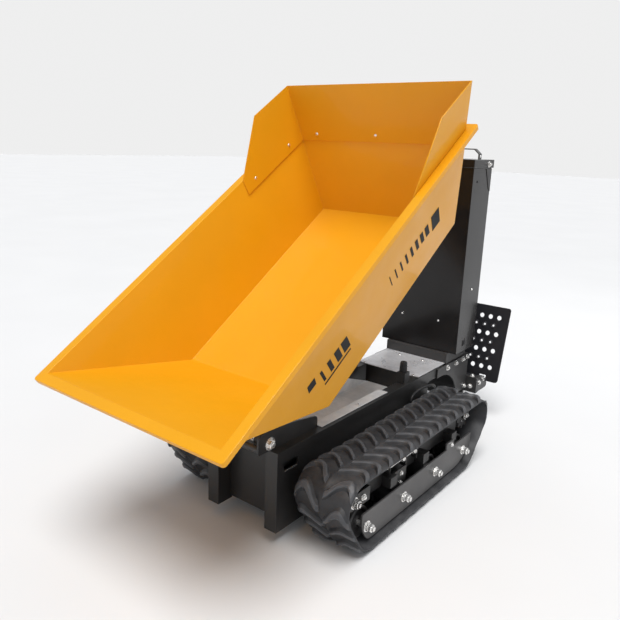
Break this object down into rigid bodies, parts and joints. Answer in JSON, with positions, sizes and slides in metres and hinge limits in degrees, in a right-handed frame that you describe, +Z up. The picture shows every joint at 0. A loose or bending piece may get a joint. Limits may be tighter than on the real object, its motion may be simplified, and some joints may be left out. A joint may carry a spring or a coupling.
{
  "type": "tracked mini dumper",
  "caption": "Tracked power wheelbarrow with a front-tipping skip on a hydraulic ram, rubber tracks, rear control tower and fold-up footplate.",
  "frame": {"origin": "middle of the bounding box, on the ground", "axes": "+Z up; the machine drives towards -Y, so the skip tips towards -Y and the tower is at +Y; +X is the machine's left side"},
  "size_m": [0.724, 1.7643, 1.2895],
  "materials": {
    "battery_pack": "dark grey case",
    "belly_plate": "satin black paint",
    "control_console": "textured dark grey plastic",
    "cross_member": "satin black paint",
    "drive_bracket_l": "satin black paint",
    "drive_bracket_r": "satin black paint",
    "drive_cable_l": "black hose",
    "drive_cable_r": "black hose",
    "drive_lever_l": "black knob on a black rod",
    "drive_lever_r": "black knob on a black rod",
    "drive_motor_l": "satin black paint",
    "drive_motor_r": "satin black paint",
    "drive_sprocket_l": "dark machined casting",
    "drive_sprocket_r": "dark machined casting",
    "footplate": "dark grey powder coat",
    "footplate_bracket": "satin black paint",
    "front_panel": "satin black paint",
    "front_spacer": "satin black paint",
    "galvanised_tray": "zinc plated sheet",
    "grab_handle": "satin black paint",
    "handlebar": "black powder coat",
    "hydraulic_unit": "dark grey casting and tank",
    "idler_carrier_l": "satin black paint",
    "idler_carrier_r": "satin black paint",
    "idler_l": "dark grey paint",
    "idler_r": "dark grey paint",
    "pivot_shaft": "bright zinc plated steel",
    "ram_barrel": "satin black paint",
    "ram_bracket": "satin black paint",
    "ram_rod": "hard chrome",
    "rear_deck": "zinc plated sheet",
    "rest_buffer_l": "matte black rubber",
    "rest_buffer_r": "matte black rubber",
    "roller_l1": "dark grey paint",
    "roller_l2": "dark grey paint",
    "roller_l3": "dark grey paint",
    "roller_l4": "dark grey paint",
    "roller_plate_l": "satin dark grey paint",
    "roller_plate_r": "satin dark grey paint",
    "roller_r1": "dark grey paint",
    "roller_r2": "dark grey paint",
    "roller_r3": "dark grey paint",
    "roller_r4": "dark grey paint",
    "side_rail_l": "satin black paint",
    "side_rail_r": "satin black paint",
    "skip": "satin yellow-orange paint",
    "skip_frame": "satin black paint",
    "spill_guard": "satin yellow-orange paint",
    "stop_button": "red mushroom head",
    "tip_lever": "red knob",
    "tower_base": "satin black paint",
    "tower_cap": "satin black paint",
    "tower_rear_panel": "satin black paint",
    "tower_shell": "glossy black paint",
    "track_belt_l": "worn black rubber",
    "track_belt_r": "worn black rubber",
    "track_frame_l": "satin black paint",
    "track_frame_r": "satin black paint"
  },
  "bodies": {
    "chassis": {"side_rail_l": "side_rail_l", "rest_buffer_l": "rest_buffer_l", "drive_bracket_l": "drive_bracket_l", "track_frame_l": "track_frame_l", "roller_plate_l": "roller_plate_l", "track_belt_l": "track_belt_l", "idler_carrier_l": "idler_carrier_l", "drive_motor_l": "drive_motor_l", "drive_cable_l": "drive_cable_l", "side_rail_r": "side_rail_r", "rest_buffer_r": "rest_buffer_r", "drive_bracket_r": "drive_bracket_r", "track_frame_r": "track_frame_r", "roller_plate_r": "roller_plate_r", "track_belt_r": "track_belt_r", "idler_carrier_r": "idler_carrier_r", "drive_motor_r": "drive_motor_r", "drive_cable_r": "drive_cable_r", "front_panel": "front_panel", "belly_plate": "belly_plate", "cross_member": "cross_member", "front_spacer": "front_spacer", "ram_bracket": "ram_bracket", "tower_base": "tower_base", "tower_cap": "tower_cap", "grab_handle": "grab_handle", "tower_rear_panel": "tower_rear_panel", "footplate_bracket": "footplate_bracket", "rear_deck": "rear_deck", "galvanised_tray": "galvanised_tray", "battery_pack": "battery_pack", "hydraulic_unit": "hydraulic_unit", "pivot_shaft": "pivot_shaft", "tower_shell": "tower_shell", "control_console": "control_console", "handlebar": "handlebar"},
    "skip": {"skip": "skip", "spill_guard": "spill_guard", "skip_frame": "skip_frame"},
    "ram_barrel": {"ram_barrel": "ram_barrel"},
    "ram_rod": {"ram_rod": "ram_rod"},
    "drive_sprocket_l": {"drive_sprocket_l": "drive_sprocket_l"},
    "idler_l": {"idler_l": "idler_l"},
    "roller_l1": {"roller_l1": "roller_l1"},
    "roller_l2": {"roller_l2": "roller_l2"},
    "roller_l3": {"roller_l3": "roller_l3"},
    "roller_l4": {"roller_l4": "roller_l4"},
    "drive_sprocket_r": {"drive_sprocket_r": "drive_sprocket_r"},
    "idler_r": {"idler_r": "idler_r"},
    "roller_r1": {"roller_r1": "roller_r1"},
    "roller_r2": {"roller_r2": "roller_r2"},
    "roller_r3": {"roller_r3": "roller_r3"},
    "roller_r4": {"roller_r4": "roller_r4"},
    "footplate": {"footplate": "footplate"},
    "drive_lever_l": {"drive_lever_l": "drive_lever_l"},
    "drive_lever_r": {"drive_lever_r": "drive_lever_r"},
    "tip_lever": {"tip_lever": "tip_lever"},
    "stop_button": {"stop_button": "stop_button"}
  },
  "joints": [
    {"name": "skip_tip", "type": "hinge", "parent": "chassis", "child": "skip", "pos_m": [0, -0.4692, 0.31], "axis": [1, 0, 0], "range_deg": [-33.2, 20]},
    {"name": "ram_swing", "type": "hinge", "parent": "chassis", "child": "ram_barrel", "pos_m": [0, -0.36399, 0.09429], "axis": [1, 0, 0], "range_deg": [-16.6, 10]},
    {"name": "rod_swing", "type": "hinge", "parent": "skip", "child": "ram_rod", "pos_m": [0, -0.29658, 0.47674], "axis": [1, 0, 0], "range_deg": [-10, 16.6]},
    {"name": "sprocket_turn_l", "type": "hinge", "parent": "chassis", "child": "drive_sprocket_l", "pos_m": [0.265, 0.3828, 0.174], "axis": [1, 0, 0], "continuous": true},
    {"name": "idler_turn_l", "type": "hinge", "parent": "chassis", "child": "idler_l", "pos_m": [0.265, -0.3722, 0.172], "axis": [1, 0, 0], "continuous": true},
    {"name": "roller_turn_l1", "type": "hinge", "parent": "chassis", "child": "roller_l1", "pos_m": [0.265, -0.3172, 0.08], "axis": [1, 0, 0], "continuous": true},
    {"name": "roller_turn_l2", "type": "hinge", "parent": "chassis", "child": "roller_l2", "pos_m": [0.265, -0.1119, 0.08], "axis": [1, 0, 0], "continuous": true},
    {"name": "roller_turn_l3", "type": "hinge", "parent": "chassis", "child": "roller_l3", "pos_m": [0.265, 0.0934, 0.08], "axis": [1, 0, 0], "continuous": true},
    {"name": "roller_turn_l4", "type": "hinge", "parent": "chassis", "child": "roller_l4", "pos_m": [0.265, 0.2987, 0.08], "axis": [1, 0, 0], "continuous": true},
    {"name": "sprocket_turn_r", "type": "hinge", "parent": "chassis", "child": "drive_sprocket_r", "pos_m": [-0.265, 0.3828, 0.174], "axis": [1, 0, 0], "continuous": true},
    {"name": "idler_turn_r", "type": "hinge", "parent": "chassis", "child": "idler_r", "pos_m": [-0.265, -0.3722, 0.172], "axis": [1, 0, 0], "continuous": true},
    {"name": "roller_turn_r1", "type": "hinge", "parent": "chassis", "child": "roller_r1", "pos_m": [-0.265, -0.3172, 0.08], "axis": [1, 0, 0], "continuous": true},
    {"name": "roller_turn_r2", "type": "hinge", "parent": "chassis", "child": "roller_r2", "pos_m": [-0.265, -0.1119, 0.08], "axis": [1, 0, 0], "continuous": true},
    {"name": "roller_turn_r3", "type": "hinge", "parent": "chassis", "child": "roller_r3", "pos_m": [-0.265, 0.0934, 0.08], "axis": [1, 0, 0], "continuous": true},
    {"name": "roller_turn_r4", "type": "hinge", "parent": "chassis", "child": "roller_r4", "pos_m": [-0.265, 0.2987, 0.08], "axis": [1, 0, 0], "continuous": true},
    {"name": "footplate_fold", "type": "hinge", "parent": "chassis", "child": "footplate", "pos_m": [0, 0.8055, 0.166], "axis": [1, 0, 0], "range_deg": [-77.4, 0]},
    {"name": "drive_lever_l_swing", "type": "hinge", "parent": "chassis", "child": "drive_lever_l", "pos_m": [0.07, 0.76746, 0.94651], "axis": [1, 0, 0], "range_deg": [-25, 25], "stiffness_Nm_per_rad": 1.5},
    {"name": "drive_lever_r_swing", "type": "hinge", "parent": "chassis", "child": "drive_lever_r", "pos_m": [-0.07, 0.76746, 0.94651], "axis": [1, 0, 0], "range_deg": [-25, 25], "stiffness_Nm_per_rad": 1.5},
    {"name": "tip_lever_swing", "type": "hinge", "parent": "chassis", "child": "tip_lever", "pos_m": [0.024, 0.76746, 0.94651], "axis": [1, 0, 0], "range_deg": [-22, 22], "stiffness_Nm_per_rad": 1.5},
    {"name": "stop_button_press", "type": "slide", "parent": "chassis", "child": "stop_button", "axis": [0, -0.6114, -0.7913], "range_m": [0, 0.005], "stiffness_N_per_m": 400}
  ],
  "couplings": [
    {"joint": "ram_swing", "follows": "skip_tip", "ratio": 0.5},
    {"joint": "rod_swing", "follows": "skip_tip", "ratio": -0.5},
    {"joint": "idler_turn_l", "follows": "sprocket_turn_l", "ratio": 1},
    {"joint": "roller_turn_l1", "follows": "sprocket_turn_l", "ratio": 1.06},
    {"joint": "roller_turn_l2", "follows": "sprocket_turn_l", "ratio": 1.06},
    {"joint": "roller_turn_l3", "follows": "sprocket_turn_l", "ratio": 1.06},
    {"joint": "roller_turn_l4", "follows": "sprocket_turn_l", "ratio": 1.06},
    {"joint": "idler_turn_r", "follows": "sprocket_turn_r", "ratio": 1},
    {"joint": "roller_turn_r1", "follows": "sprocket_turn_r", "ratio": 1.06},
    {"joint": "roller_turn_r2", "follows": "sprocket_turn_r", "ratio": 1.06},
    {"joint": "roller_turn_r3", "follows": "sprocket_turn_r", "ratio": 1.06},
    {"joint": "roller_turn_r4", "follows": "sprocket_turn_r", "ratio": 1.06}
  ]
}
